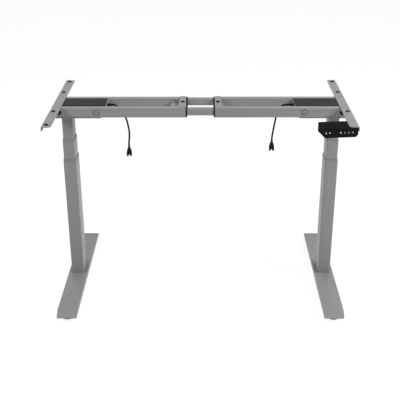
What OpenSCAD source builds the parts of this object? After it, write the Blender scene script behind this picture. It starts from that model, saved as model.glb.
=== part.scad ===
// Height-adjustable desk frame: two three-stage columns under a frame of telescoping rails.
// X runs from the left column to the right one, Y from front to rear, Z up from the floor.

/* [Feet] */
// Length of a foot, front to rear
foot_l = 710; // [600:5:760]
// Width of a foot
foot_w = 76; // [70:1:90]
// Height of a foot's side skirt
foot_h = 18; // [16:0.5:24]
// Sheet thickness of a foot
foot_wall = 3; // [2:0.5:4]
// Length of the slope at each end of a foot
foot_ramp_l = 36; // [24:1:48]
// Height of a foot's lower edge above the floor
foot_clear = 16; // [13:0.5:20]
// Distance from a foot's tip to the middle of its glide
glide_inset = 43; // [34:1:60]
// Radius of a glide's disc
glide_r = 28; // [20:1:32]
// Thickness of a glide's disc
glide_t = 9; // [7:0.5:10]
// Radius of a glide's threaded stud
glide_stud_r = 4; // [3:0.5:5]
// Length of a glide's stud that stays in its boss when the glide is fully out
glide_hold = 9.5; // [6:0.5:12]

/* [Columns] */
// Distance between the columns' middles
column_spacing = 1013; // [980:1:1100]
// Width of the lowest tube across the desk
lower_tube_x = 50; // [48:1:60]
// Width of the lowest tube front to rear
lower_tube_y = 80; // [76:1:90]
// Wall of each column tube
tube_wall = 1.8; // [1.5:0.1:2]
// Gap between one tube and the next
tube_gap = 0.7; // [0.5:0.1:0.9]
// Outer corner radius of the tubes
tube_corner_r = 5; // [3:0.5:6]
// Length of the lowest tube
lower_tube_l = 494; // [480:1:520]
// Gap left under the middle tube when the column is closed
middle_floor_gap = 20; // [10:1:30]
// Gap left under the upper tube when the column is closed
upper_floor_gap = 21.7; // [12:0.1:30]
// Height of the guide collar on a tube's top
collar_h = 8; // [5:0.5:12]
// Length of middle tube and collar that shows at rest
middle_exposed = 82; // [75:1:90]
// Length of upper tube that shows at rest
upper_exposed = 97; // [90:1:105]
// How far each stage can close from rest
lift_down = 70; // [50:1:74]
// How far each stage can open from rest
lift_up = 240; // [200:1:240]
// Thickness of the plate in the foot end of the lowest tube
base_plate_t = 6; // [4:0.5:8]

/* [Spindles] */
// Radius of the drive rod
drive_rod_r = 5; // [4:0.5:5.5]
// Wall of the base spindle and the hollow spindle
spindle_wall = 3; // [2:0.5:3]
// Distance from the lowest tube's top down to the fixed base spindle's top
base_spindle_drop = 108; // [90:1:130]
// Height of each spindle nut
nut_h = 30; // [20:1:34]
// Thickness of the plate that carries the hollow spindle
carrier_t = 12; // [8:1:14]
// Thickness of the hollow spindle's thrust collar
thrust_collar_t = 6; // [4:0.5:8]

/* [Rails] */
// Distance between the outer faces of the front and rear rails
rail_span = 146; // [136:1:160]
// Height of an outer rail
rail_h = 37; // [35:1:44]
// Depth of an outer rail's flanges
rail_depth = 25; // [24:1:30]
// Sheet thickness of an outer rail
rail_wall = 2; // [1.5:0.25:3]
// Gap between the left and right rails' plastic collars when the frame is closed
closed_gap = 9; // [4:1:20]
// Length of the plastic collar on a rail's inner end
rail_cap_l = 5.5; // [4:0.5:8]
// Length of centre rail that stays in an outer rail when the frame is fully open
rail_overlap = 75; // [60:1:80]
// Height of a centre rail
centre_rail_h = 27.5; // [24:0.5:28]
// Wall of a centre rail
centre_rail_wall = 1.5; // [1:0.25:2]
// Width of the bridge plate near a rail's inner end
bridge_w = 25; // [20:1:30]
// Thickness of the bridge plates and cross plates
bridge_t = 2; // [1.5:0.5:3]
// How far each half of the frame can close from rest
width_in = 45; // [20:1:45]
// How far each half of the frame can open from rest
width_out = 190; // [150:5:200]

/* [Side brackets] */
// Length of a side bracket, front to rear
bracket_l = 580; // [560:5:600]
// Width of a side bracket's top
bracket_w = 35; // [34:1:40]
// Sheet thickness of a side bracket
bracket_t = 3; // [2:0.5:4]
// Height of a side bracket's outer flange
bracket_flange_h = 17; // [12:1:24]
// Distance from a column's middle to the bracket's outer face
bracket_reach = 47; // [46:1:52]
// Distance from a side bracket's end to its outer holes
outer_hole_inset = 22.5; // [20:0.5:40]
// Distance from a rail's outer face to the inner bracket holes
inner_hole_reach = 46; // [30:1:70]
// Radius of the screw hole in a grommet
grommet_hole_r = 2.8; // [2.3:0.1:3.2]
// Radius of a grommet's rim
grommet_r = 8; // [6.5:0.5:9]

/* [Motor housing] */
// Length of a motor tray along the rails
tray_l = 184; // [176:1:195]
// Sheet thickness of a motor tray
tray_t = 3; // [2:0.5:4]
// Corner radius of a motor tray
tray_corner_r = 13; // [5:1:20]
// Length of a motor cover
cover_l = 190; // [184:1:200]
// Wall of a motor cover
cover_wall = 2; // [1.5:0.25:2.5]
// Radius of the motor's can
motor_r = 15; // [12:0.5:16]

/* [Handset] */
// Length of the handset
handset_l = 123; // [116:1:130]
// Turn of the handset about its screw, in degrees
handset_turn = 6; // [0:0.5:8]
// Wall of the handset's shells
handset_wall = 2; // [1.5:0.25:2.5]
// Width of a handset key
key_w = 10; // [8:0.5:11]
// Height of a handset key
key_h = 9; // [7:0.5:10]
// Travel of a handset key
key_travel = 0.8; // [0.4:0.1:1]

/* [Cables] */
// Radius of a motor cable
cable_r = 3.5; // [2:0.25:4]
// Length of the strain relief where a cable leaves its cover
gland_l = 20; // [15:1:25]
// Length of a plug's body
plug_l = 30; // [26:1:34]
// Length of the strain relief on a plug
plug_relief_l = 16; // [12:1:20]

/* [Hidden] */

// Paint and plastics
steel_grey = [0.53, 0.53, 0.53];
collar_grey = [0.38, 0.38, 0.38];
cover_grey = [0.25, 0.25, 0.25];
bare_steel = [0.70, 0.70, 0.68];
black_plastic = [0.07, 0.07, 0.07];
brass_yellow = [0.72, 0.58, 0.30];

// Running gap of what slides or turns, and the overrun of every cut
slide_gap = 0.3;
fit_gap = 0.05;
cut = 1;
$fn = 64;
small_fn = 32;

// Heights from the floor up, at rest
foot_top = foot_clear + foot_h;
base_plate_top = foot_top + base_plate_t;
lower_tube_top = foot_top + lower_tube_l;
lower_top = lower_tube_top + collar_h;
base_spindle_l = lower_tube_top - base_spindle_drop - base_plate_top;
middle_top = lower_top + middle_exposed;
middle_tube_top = middle_top - collar_h;
middle_tube_bottom = base_plate_top + middle_floor_gap + lift_down;
upper_top = middle_top + upper_exposed;
upper_bottom = middle_tube_bottom + carrier_t + slide_gap + thrust_collar_t + upper_floor_gap + lift_down;
tray_top = upper_top + tray_t;
rail_top = tray_top + rail_h;
bracket_top = rail_top + bracket_t;

// Places along X, on the right half
column_x = column_spacing / 2;
bracket_outer = column_x + bracket_reach;
bracket_inner = bracket_outer - bracket_w;
rail_end = bracket_outer - bracket_t;
rail_start = closed_gap / 2 + rail_cap_l + width_in;
centre_rail_l = 2 * (rail_start + width_out + rail_overlap);
tray_start = rail_end - tray_l;

// Places along Y
rail_face = rail_span / 2;
rail_lip = rail_face - rail_depth;

// Column tubes, from the outside in
tube_step = tube_wall + tube_gap;
middle_tube_x = lower_tube_x - 2 * tube_step;
middle_tube_y = lower_tube_y - 2 * tube_step;
upper_tube_x = middle_tube_x - 2 * tube_step;
upper_tube_y = middle_tube_y - 2 * tube_step;
collar_rim = 1.2;

// Feet
foot_side_r = 6;
glide_y = foot_l / 2 - glide_inset;
glide_boss_wall = 4;
glide_boss_gap = 1.5;
glide_boss_bottom = glide_t + glide_boss_gap;
stud_top_gap = 1;
stud_top = foot_top - foot_wall - stud_top_gap;
glide_travel = stud_top - glide_boss_bottom - glide_hold;
foot_bolt_r = 4;
foot_bolt_head_r = 6.5;
foot_bolt_head_h = 5;
foot_bolt_x = 14;
foot_bolt_y = 28;

// Spindles
spindle_bore_gap = 1;
base_spindle_r = drive_rod_r + spindle_bore_gap + spindle_wall;
hollow_bore_r = base_spindle_r + spindle_bore_gap;
hollow_spindle_r = hollow_bore_r + spindle_wall;
spindle_end_gap = 15;
thrust_collar_rim = 3;
thrust_collar_r = hollow_spindle_r + thrust_collar_rim;
spline_h = 20;
drive_rod_in_box = 6;
drive_rod_top = tray_top + drive_rod_in_box;
hollow_top = upper_top - lift_down - spindle_end_gap;
drive_rod_bottom = hollow_top - spline_h - lift_up;

// Rails and what sits in them
centre_rail_w = rail_depth - 2 * (rail_wall + slide_gap);
centre_rail_face = rail_face - rail_wall - slide_gap;
centre_rail_top = rail_top - rail_wall - slide_gap;
centre_rail_corner_r = 2.5;
rail_corner_r = 3;
cap_rim = 0.8;
cross_plate_w = 20;
cross_plate_t = 3;
cross_plate_drop = 11;
cross_plate_inset = 47;
cross_plate_x = rail_start + cross_plate_inset;
cross_plate_top = rail_top - cross_plate_drop;
bridge_corner_r = 5;
bridge_hole_inset = 11.5;
bridge_hole_x = rail_start + bridge_hole_inset;

// Rail stop bolts and the plugs in the rails' outer ends
stop_bolt_inset = 163;
stop_bolt_head_r = 11.5;
stop_bolt_head_t = 2;
stop_bolt_r = 4;
stop_bolt_l = 14;
stop_nut_r = 7;
stop_nut_t = 5;
rail_hole_height_share = 0.55;
rail_hole_z = tray_top + rail_h * rail_hole_height_share;
plug_hole_inset = 22;
plug_rim_r = 10;
plug_rim_t = 1.2;
plug_core_r = 8;
plug_core_l = 5;

// Side brackets
bracket_corner_r = 13;
bracket_hole_inset = 15.5;
bracket_hole_x = bracket_outer - bracket_hole_inset;
outer_hole_y = bracket_l / 2 - outer_hole_inset;
inner_hole_y = rail_face + inner_hole_reach;
grommet_neck_r = 5;
grommet_proud = 2;
grommet_foot_t = 1.5;
handset_screw_r = 2;
handset_hole_r = 2.4;
handset_hole_inset = 27;
handset_hole_y = bracket_l / 2 - handset_hole_inset;
bracket_screw_r = 3;
bracket_screw_head_r = 6;
bracket_screw_head_t = 1.6;
bracket_screw_l = 12;
bracket_screw_y = rail_face - rail_depth / 2;
bracket_screw_x = bracket_inner + bracket_w / 2;

// Motor housing
cover_side_gap = 1;
cover_half_w = rail_lip - cover_side_gap;
cover_end_gap = 5.5;
cover_end = rail_end - cover_end_gap;
cover_start = cover_end - cover_l;
cover_under_gap = 0.4;
cover_step_gap = 2.5;
cover_rise = 2;
cover_chamfer = 4;
cover_screw_inset = 55;
cover_screw_x = column_x - cover_screw_inset;
cover_screw_r = 2;
cover_screw_head_r = 3.5;
cover_screw_head_t = 1.4;
cover_screw_l = 8;
gearbox_l = 60;
gearbox_side_gap = 15;
gearbox_w = 2 * (cover_half_w - cover_wall - gearbox_side_gap);
gearbox_top_gap = 1;
motor_l = 84;
motor_gap = 0.3;
hub_wall = 5;
hub_gap = 1.5;
hub_r = drive_rod_r + hub_wall;
hub_hole_r = hub_r + hub_gap;
gland_y = 0;
gland_drop = 10;
gland_big_r = 6.5;
gland_small_r = 4.4;

// Handset, before its turn: its profile in Y and Z from the top rear edge
handset_screw_x = bracket_hole_x;
handset_screw_y = -handset_hole_y;
handset_screw_inset = 7;
handset_spare_inset = 13;
handset_right = handset_screw_x + handset_screw_inset;
handset_left = handset_right - handset_l;
handset_spare_hole_x = handset_left + handset_spare_inset;
handset_top = rail_top;
handset_rear_reach = 48;
handset_brow_reach = 27;
handset_nose_reach = 37;
handset_rear = handset_screw_y + handset_rear_reach;
handset_brow = handset_screw_y - handset_brow_reach;
handset_nose = handset_screw_y - handset_nose_reach;
handset_face_drop = 28;
handset_chin_drop = 34;
handset_chin_in = 9;
handset_rear_drop = 34;
handset_low_corner = 7;
handset_jaw_share = 0.7;
handset_edge_r = 3;
handset_split_drop = 10;
handset_split_gap = 0.2;
key_gap = 0.35;
key_corner_r = 2;
key_proud = 0.5;
key_seat_gap = 0.2;
key_depth = handset_wall + key_proud + key_travel + key_seat_gap;

// The sloped face touches two round edges, whose middles are these points in Y and Z
brow_corner = [handset_brow + handset_edge_r / 2, handset_top - handset_edge_r];
nose_corner = [handset_nose + handset_edge_r, handset_top - handset_face_drop];
face_run = nose_corner - brow_corner;
face_angle = atan2(-face_run[1], -face_run[0]);
face_middle = brow_corner + face_run / 2 + handset_edge_r * [-sin(face_angle), cos(face_angle)];
jaw_corner = brow_corner + handset_jaw_share * face_run;
lift_key_first = 9;
lift_key_pitch = 13.5;
preset_key_first = 61;
preset_key_pitch = 14;

// Cables: each route runs from the strain relief at its cover to its plug
left_cable_route = [
    [-335, 0, 745], [-332, 0, 745], [-328, 0, 745], [-320, 0, 741], [-313, 0, 733], [-305, 0, 722],
    [-296, 0, 710], [-288, 0, 697], [-282, 0, 681], [-278, 0, 660], [-275, 0, 638],
    [-275, 0, 617], [-277, 0, 600], [-278, 0, 589], [-278, 0, 583]
];
right_cable_route = [
    [335, 0, 745], [332, 0, 745], [327, 0, 745], [316, 0, 743], [306, 0, 736], [298, 0, 725],
    [292, 0, 710], [285, 0, 674], [282, 0, 654], [279, 0, 635], [277, 0, 621],
    [276, 0, 611], [276, 0, 605]
];
cable_sides = 10;
cable_steps = 2;
relief_big_r = 5;
plug_top_w = 15;
plug_low_w = 20;
plug_depth = 13;
plug_notch_w = 6;
plug_notch_h = 7;
plug_prong_chamfer = 3;
plug_shoulder = 2.5;

// A rectangle with round corners, centred on the origin
module round_rect(size_x, size_y, r) {
    square([size_x - 2 * r, size_y], center = true);
    square([size_x, size_y - 2 * r], center = true);
    for (side_x = [-1, 1], side_y = [-1, 1])
        translate([side_x * (size_x / 2 - r), side_y * (size_y / 2 - r)])
            circle(r = r);
}

// A standing rectangular tube
module box_tube(size_x, size_y, wall, r, bottom, top) {
    translate([0, 0, bottom])
        difference() {
            linear_extrude(top - bottom)
                round_rect(size_x, size_y, r);
            translate([0, 0, -cut])
                linear_extrude(top - bottom + 2 * cut)
                    round_rect(size_x - 2 * wall, size_y - 2 * wall, r - wall);
        }
}

// Everything of the left half is the mirror of the right half
module on_side(side) {
    if (side < 0)
        mirror([1, 0, 0])
            children();
    else
        children();
}

// A profile in Y and Z, drawn along X
module along_x(from_x, to_x) {
    translate([from_x, 0, 0])
        rotate([90, 0, 90])
            linear_extrude(to_x - from_x)
                children();
}

module centre_rails() {
    color(steel_grey)
        for (side_y = [-1, 1])
            along_x(-centre_rail_l / 2, centre_rail_l / 2)
                translate([side_y * (centre_rail_face - centre_rail_w / 2), centre_rail_top - centre_rail_h / 2])
                    difference() {
                        round_rect(centre_rail_w, centre_rail_h, centre_rail_corner_r);
                        round_rect(centre_rail_w - 2 * centre_rail_wall, centre_rail_h - 2 * centre_rail_wall,
                            centre_rail_corner_r - centre_rail_wall / 2);
                    }
}

// A flat plate low between the left rails, welded to their inner faces
module cross_plate(side) {
    color(steel_grey)
        on_side(side)
            translate([cross_plate_x - cross_plate_w / 2, -rail_lip, cross_plate_top - cross_plate_t])
                cube([cross_plate_w, 2 * rail_lip, cross_plate_t]);
}

// The closed section of an outer rail
module rail_section() {
    difference() {
        round_rect(rail_depth, rail_h, rail_corner_r);
        round_rect(rail_depth - 2 * rail_wall, rail_h - 2 * rail_wall, rail_corner_r - rail_wall / 2);
    }
}

module rail_holes(front) {
    for (place = [[rail_end - stop_bolt_inset, stop_bolt_r], [rail_end - plug_hole_inset, plug_core_r]])
        translate([place[0], front * rail_face, rail_hole_z])
            rotate([90, 0, 0])
                cylinder(r = place[1] + slide_gap, h = 4 * rail_wall, center = true);
    for (across = [-1, 1])
        translate([bracket_screw_x, across * bracket_screw_y, rail_top])
            cylinder(r = bracket_screw_r + slide_gap, h = 4 * rail_wall, center = true);
}

module outer_rails(side) {
    color(steel_grey)
        on_side(side)
            for (front = [-1, 1])
                difference() {
                    along_x(rail_start, rail_end)
                        translate([front * (rail_face - rail_depth / 2), tray_top + rail_h / 2])
                            rail_section();
                    rail_holes(front);
                }
}

module rail_bridge(side) {
    color(steel_grey)
        on_side(side)
            difference() {
                translate([rail_start + bridge_w / 2, 0, rail_top])
                    linear_extrude(bridge_t)
                        round_rect(bridge_w, rail_span - 2 * rail_wall, bridge_corner_r);
                translate([bridge_hole_x, 0, rail_top - cut])
                    cylinder(r = grommet_neck_r, h = bridge_t + 2 * cut);
            }
}

// Plastic collars on the inner ends of the rails, and the plugs near their outer ends
module rail_caps(side) {
    window_r = centre_rail_corner_r + slide_gap / 2;
    color(black_plastic)
        on_side(side)
            for (front = [-1, 1]) {
                along_x(rail_start - rail_cap_l, rail_start)
                    difference() {
                        translate([front * (rail_face - rail_depth / 2), tray_top + rail_h / 2])
                            round_rect(rail_depth, rail_h - cap_rim, rail_corner_r);
                        translate([front * (centre_rail_face - centre_rail_w / 2),
                            centre_rail_top - centre_rail_h / 2])
                            round_rect(centre_rail_w + 2 * slide_gap, centre_rail_h + 2 * slide_gap, window_r);
                    }
                translate([rail_end - plug_hole_inset, front * rail_face, rail_hole_z])
                    rotate([front * 90, 0, 0]) {
                        translate([0, 0, -plug_rim_t])
                            cylinder(r = plug_rim_r, h = plug_rim_t);
                        cylinder(r = plug_core_r, h = plug_core_l);
                    }
            }
}

module side_bracket(side) {
    color(steel_grey)
        on_side(side)
            difference() {
                union() {
                    translate([bracket_inner + bracket_w / 2, 0, rail_top])
                        linear_extrude(bracket_t)
                            round_rect(bracket_w, bracket_l, bracket_corner_r);
                    translate([bracket_outer - bracket_w / 2, -bracket_l / 2, rail_top])
                        cube([bracket_w / 2, bracket_l, bracket_t]);
                    translate([bracket_outer - bracket_t, -bracket_l / 2, bracket_top - bracket_flange_h])
                        cube([bracket_t, bracket_l, bracket_flange_h - bracket_t / 2]);
                }
                for (place = grommet_places(side))
                    translate([bracket_hole_x, place, rail_top - cut])
                        cylinder(r = grommet_neck_r, h = bracket_t + 2 * cut);
                for (across = [-1, 1])
                    translate([bracket_screw_x, across * bracket_screw_y, rail_top - cut]) {
                        cylinder(r = bracket_screw_r + slide_gap, h = bracket_t + 2 * cut);
                        translate([0, 0, cut + bracket_t - bracket_screw_head_t])
                            cylinder(r = bracket_screw_head_r + slide_gap, h = bracket_t);
                    }
                if (side > 0)
                    translate([handset_screw_x, handset_screw_y, rail_top - cut])
                        cylinder(r = handset_hole_r, h = bracket_t + 2 * cut);
            }
}

// The right bracket's front hole takes the handset's screw, so it has no grommet
function grommet_places(side) = side < 0
    ? [-outer_hole_y, -inner_hole_y, inner_hole_y, outer_hole_y]
    : [-inner_hole_y, inner_hole_y, outer_hole_y];

// A grommet in a plate of thickness t, whose underside is at height 0
module grommet(t) {
    difference() {
        union() {
            translate([0, 0, -grommet_foot_t])
                cylinder(r = grommet_r, h = grommet_foot_t);
            cylinder(r = grommet_neck_r, h = t);
            translate([0, 0, t])
                cylinder(r = grommet_r, h = grommet_proud);
        }
        translate([0, 0, -grommet_foot_t - cut])
            cylinder(r = grommet_hole_r, h = t + grommet_foot_t + grommet_proud + 2 * cut);
    }
}

module bracket_grommets(side) {
    color(black_plastic)
        on_side(side) {
            for (place = grommet_places(side))
                translate([bracket_hole_x, place, rail_top])
                    grommet(bracket_t);
            translate([bridge_hole_x, 0, rail_top])
                grommet(bridge_t);
        }
}

module motor_tray(side) {
    color(steel_grey)
        on_side(side)
            difference() {
                translate([tray_start + tray_l / 2, 0, upper_top])
                    linear_extrude(tray_t)
                        round_rect(tray_l, rail_span, tray_corner_r);
                translate([column_x, 0, upper_top - cut])
                    cylinder(r = hub_hole_r, h = tray_t + 2 * cut);
            }
}

// The cover's outside, shrunk by its wall for the inside
module cover_block(inset, bottom) {
    half_w = cover_half_w - inset;
    low_top = rail_top - cover_under_gap - inset;
    high_top = rail_top + cover_rise - inset;
    step_x = bracket_inner - cover_step_gap;
    along_x(cover_start + inset, cover_end - inset)
        polygon([
            [-half_w, bottom], [half_w, bottom], [half_w, low_top - cover_chamfer],
            [half_w - cover_chamfer, low_top], [-half_w + cover_chamfer, low_top],
            [-half_w, low_top - cover_chamfer]
        ]);
    along_x(cover_start + inset, step_x - inset)
        polygon([
            [-half_w, bottom], [half_w, bottom], [half_w, high_top - cover_chamfer],
            [half_w - cover_chamfer, high_top], [-half_w + cover_chamfer, high_top],
            [-half_w, high_top - cover_chamfer]
        ]);
}

module motor_cover(side) {
    color(cover_grey)
        on_side(side)
            difference() {
                cover_block(0, tray_top);
                cover_block(cover_wall, tray_top - cut);
                translate([cover_screw_x, 0, rail_top])
                    cylinder(r = cover_screw_r + slide_gap, h = 4 * cover_rise, center = true);
            }
}

module gearmotor(side) {
    box_start = column_x - gearbox_l / 2;
    box_h = rail_h - cover_under_gap - cover_wall - gearbox_top_gap;
    color(bare_steel)
        on_side(side)
            difference() {
                union() {
                    translate([box_start, -gearbox_w / 2, tray_top])
                        cube([gearbox_l, gearbox_w, box_h]);
                    translate([box_start - motor_l, 0, tray_top + motor_r + motor_gap])
                        rotate([0, 90, 0])
                            cylinder(r = motor_r, h = motor_l);
                    translate([column_x, 0, upper_top])
                        cylinder(r = hub_r, h = tray_t + cut);
                }
                translate([column_x, 0, upper_top - cut])
                    cylinder(r = drive_rod_r + fit_gap, h = drive_rod_top - upper_top + 2 * cut);
            }
}

module frame_screws(side) {
    color(bare_steel)
        on_side(side) {
            for (front = [-1, 1]) {
                translate([rail_end - stop_bolt_inset, front * rail_face, rail_hole_z])
                    rotate([front * 90, 0, 0]) {
                        translate([0, 0, -stop_bolt_head_t])
                            cylinder(r = stop_bolt_head_r, h = stop_bolt_head_t);
                        cylinder(r = stop_bolt_r, h = stop_bolt_l);
                        translate([0, 0, rail_wall])
                            cylinder(r = stop_nut_r, h = stop_nut_t, $fn = 6);
                    }
                translate([bracket_screw_x, front * bracket_screw_y, bracket_top]) {
                    translate([0, 0, -bracket_screw_head_t])
                        cylinder(r = bracket_screw_head_r, h = bracket_screw_head_t);
                    translate([0, 0, -bracket_screw_l])
                        cylinder(r = bracket_screw_r, h = bracket_screw_l - bracket_screw_head_t);
                }
            }
            translate([cover_screw_x, 0, rail_top + cover_rise]) {
                cylinder(r = cover_screw_head_r, h = cover_screw_head_t);
                translate([0, 0, -cover_screw_l])
                    cylinder(r = cover_screw_r, h = cover_screw_l);
            }
            if (side > 0)
                translate([handset_screw_x, handset_screw_y, bracket_top]) {
                    cylinder(r = cover_screw_head_r, h = cover_screw_head_t);
                    translate([0, 0, -cover_screw_l])
                        cylinder(r = handset_screw_r, h = cover_screw_l);
                }
        }
}

module upper_tube(side) {
    color(steel_grey)
        on_side(side)
            translate([column_x, 0, 0])
                box_tube(upper_tube_x, upper_tube_y, tube_wall, tube_corner_r, upper_bottom, upper_top);
}

// Nut in the foot end of the upper tube, running on the hollow spindle
module spindle_nut(side) {
    nut_x = upper_tube_x - 2 * tube_wall - slide_gap;
    nut_y = upper_tube_y - 2 * tube_wall - slide_gap;
    color(brass_yellow)
        on_side(side)
            translate([column_x, 0, upper_bottom])
                difference() {
                    linear_extrude(nut_h)
                        round_rect(nut_x, nut_y, tube_corner_r - tube_wall / 2);
                    translate([0, 0, -cut])
                        cylinder(r = hollow_spindle_r + fit_gap, h = nut_h + 2 * cut);
                }
}

module drive_spindle(side) {
    color(bare_steel)
        on_side(side)
            translate([column_x, 0, drive_rod_bottom])
                cylinder(r = drive_rod_r, h = drive_rod_top - drive_rod_bottom);
}

module middle_tube(side) {
    plate_x = middle_tube_x - tube_wall;
    plate_y = middle_tube_y - tube_wall;
    color(steel_grey)
        on_side(side)
            translate([column_x, 0, 0]) {
                box_tube(middle_tube_x, middle_tube_y, tube_wall, tube_corner_r,
                    middle_tube_bottom, middle_tube_top);
                difference() {
                    translate([0, 0, middle_tube_bottom])
                        linear_extrude(carrier_t)
                            round_rect(plate_x, plate_y, tube_corner_r - tube_wall / 2);
                    translate([0, 0, middle_tube_bottom - cut])
                        cylinder(r = hollow_spindle_r + fit_gap, h = carrier_t + 2 * cut);
                }
            }
}

// A tapered guide collar on a tube's top, round the next tube
module guide_collar(outer_x, outer_y, inner_x, inner_y, bottom) {
    rim_x = inner_x + 2 * (slide_gap + collar_rim);
    rim_y = inner_y + 2 * (slide_gap + collar_rim);
    translate([column_x, 0, bottom])
        difference() {
            hull() {
                linear_extrude(collar_h / 4)
                    round_rect(outer_x, outer_y, tube_corner_r);
                linear_extrude(collar_h)
                    round_rect(rim_x, rim_y, tube_corner_r);
            }
            translate([0, 0, -cut])
                linear_extrude(collar_h + 2 * cut)
                    round_rect(inner_x + 2 * slide_gap, inner_y + 2 * slide_gap, tube_corner_r);
        }
}

module middle_collar(side) {
    color(collar_grey)
        on_side(side)
            guide_collar(middle_tube_x, middle_tube_y, upper_tube_x, upper_tube_y, middle_tube_top,
                $fn = small_fn);
}

// Threaded tube that turns in the middle tube's carrier plate
module hollow_spindle(side) {
    color(bare_steel)
        on_side(side)
            translate([column_x, 0, 0])
                difference() {
                    union() {
                        translate([0, 0, middle_tube_bottom])
                            cylinder(r = hollow_spindle_r, h = hollow_top - middle_tube_bottom);
                        translate([0, 0, middle_tube_bottom + carrier_t + slide_gap])
                            cylinder(r = thrust_collar_r, h = thrust_collar_t);
                    }
                    translate([0, 0, middle_tube_bottom - cut])
                        cylinder(r = base_spindle_r + fit_gap, h = nut_h + 2 * cut);
                    translate([0, 0, middle_tube_bottom + nut_h])
                        cylinder(r = hollow_bore_r, h = hollow_top - spline_h - middle_tube_bottom - nut_h);
                    translate([0, 0, hollow_top - spline_h - cut])
                        cylinder(r = drive_rod_r + fit_gap, h = spline_h + 2 * cut);
                }
}

module lower_tube(side) {
    plate_x = lower_tube_x - tube_wall;
    plate_y = lower_tube_y - tube_wall;
    color(steel_grey)
        on_side(side)
            translate([column_x, 0, 0]) {
                box_tube(lower_tube_x, lower_tube_y, tube_wall, tube_corner_r, foot_top, lower_tube_top);
                difference() {
                    translate([0, 0, foot_top])
                        linear_extrude(base_plate_t)
                            round_rect(plate_x, plate_y, tube_corner_r - tube_wall / 2);
                    for (place_x = [-1, 1], place_y = [-1, 1])
                        translate([place_x * foot_bolt_x, place_y * foot_bolt_y, foot_top - cut])
                            cylinder(r = foot_bolt_r + fit_gap, h = base_plate_t + 2 * cut);
                }
            }
}

module lower_collar(side) {
    color(collar_grey)
        on_side(side)
            guide_collar(lower_tube_x, lower_tube_y, middle_tube_x, middle_tube_y, lower_tube_top,
                $fn = small_fn);
}

// Fixed threaded tube that stands on the base plate, inside the hollow spindle
module base_spindle(side) {
    color(bare_steel)
        on_side(side)
            translate([column_x, 0, base_plate_top])
                difference() {
                    cylinder(r = base_spindle_r, h = base_spindle_l);
                    translate([0, 0, -cut])
                        cylinder(r = base_spindle_r - spindle_wall, h = base_spindle_l + 2 * cut);
                }
}

// Side view of a foot: flat on top, sloped at both ends
module foot_profile(inset) {
    half = foot_l / 2;
    slope = inset * (sqrt(foot_ramp_l * foot_ramp_l + foot_h * foot_h) - foot_ramp_l) / foot_h;
    reach = foot_ramp_l * (foot_h - inset) / foot_h;
    polygon([
        [-half + foot_ramp_l - reach + slope, foot_clear - (inset > 0 ? cut : 0)],
        [half - foot_ramp_l + reach - slope, foot_clear - (inset > 0 ? cut : 0)],
        [half - foot_ramp_l + reach - slope, foot_clear],
        [half - foot_ramp_l - slope, foot_top - inset],
        [-half + foot_ramp_l + slope, foot_top - inset],
        [-half + foot_ramp_l - reach + slope, foot_clear]
    ]);
}

module foot(side) {
    color(steel_grey)
        on_side(side)
            translate([column_x, 0, 0])
                difference() {
                    union() {
                        difference() {
                            intersection() {
                                along_x(-foot_w / 2, foot_w / 2)
                                    foot_profile(0);
                                translate([0, 0, foot_clear - cut])
                                    linear_extrude(foot_h + 2 * cut)
                                        round_rect(foot_w, foot_l, foot_side_r);
                            }
                            along_x(-foot_w / 2 + foot_wall, foot_w / 2 - foot_wall)
                                foot_profile(foot_wall);
                        }
                        for (front = [-1, 1])
                            translate([0, front * glide_y, glide_boss_bottom])
                                cylinder(r = glide_stud_r + glide_boss_wall,
                                    h = foot_top - foot_wall / 2 - glide_boss_bottom);
                    }
                    for (front = [-1, 1])
                        translate([0, front * glide_y, glide_boss_bottom - cut])
                            cylinder(r = glide_stud_r + fit_gap,
                                h = foot_top - foot_wall - glide_boss_bottom + cut);
                    for (place_x = [-1, 1], place_y = [-1, 1])
                        translate([place_x * foot_bolt_x, place_y * foot_bolt_y, foot_clear])
                            cylinder(r = foot_bolt_r + slide_gap, h = foot_h + cut);
                }
}

module foot_bolts(side) {
    under = foot_top - foot_wall;
    color(bare_steel)
        on_side(side)
            for (place_x = [-1, 1], place_y = [-1, 1])
                translate([column_x + place_x * foot_bolt_x, place_y * foot_bolt_y, under]) {
                    cylinder(r = foot_bolt_r, h = foot_wall + base_plate_t);
                    translate([0, 0, -foot_bolt_head_h])
                        cylinder(r = foot_bolt_head_r, h = foot_bolt_head_h);
                }
}

module glide(side, front) {
    color(black_plastic)
        on_side(side)
            translate([column_x, front * glide_y, 0]) {
                cylinder(r = glide_r, h = glide_t);
                translate([0, 0, glide_t])
                    cylinder(r = glide_stud_r, h = stud_top - glide_t);
            }
}

module cable_gland(side) {
    color(black_plastic)
        on_side(side)
            translate([cover_start, gland_y, rail_top - gland_drop])
                rotate([0, -90, 0])
                    cylinder(r1 = gland_big_r, r2 = gland_small_r, h = gland_l);
}

// A smooth curve through a route's points
function curve_point(route, i, t) =
    let (
        last = len(route) - 1,
        a = route[max(i - 1, 0)],
        b = route[i],
        c = route[i + 1],
        d = route[min(i + 2, last)]
    )
    0.5 * (2 * b + (c - a) * t + (2 * a - 5 * b + 4 * c - d) * t * t + (3 * b - a - 3 * c + d) * t * t * t);

function curve(route, steps) = concat(
    [for (i = [0 : len(route) - 2], k = [0 : steps - 1]) curve_point(route, i, k / steps)],
    [route[len(route) - 1]]
);

function unit(v) = v / norm(v);

function heading(path, i) = unit(path[min(i + 1, len(path) - 1)] - path[max(i - 1, 0)]);

function ring(path, i, r, sides) =
    let (
        ahead = heading(path, i),
        across = unit(cross(ahead, [0, 1, 0])),
        up = cross(across, ahead)
    )
    [for (k = [0 : sides - 1]) path[i] + r * (cos(360 * k / sides) * across + sin(360 * k / sides) * up)];

function path_length(path, i = 1) =
    i < len(path) ? norm(path[i] - path[i - 1]) + path_length(path, i + 1) : 0;

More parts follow.
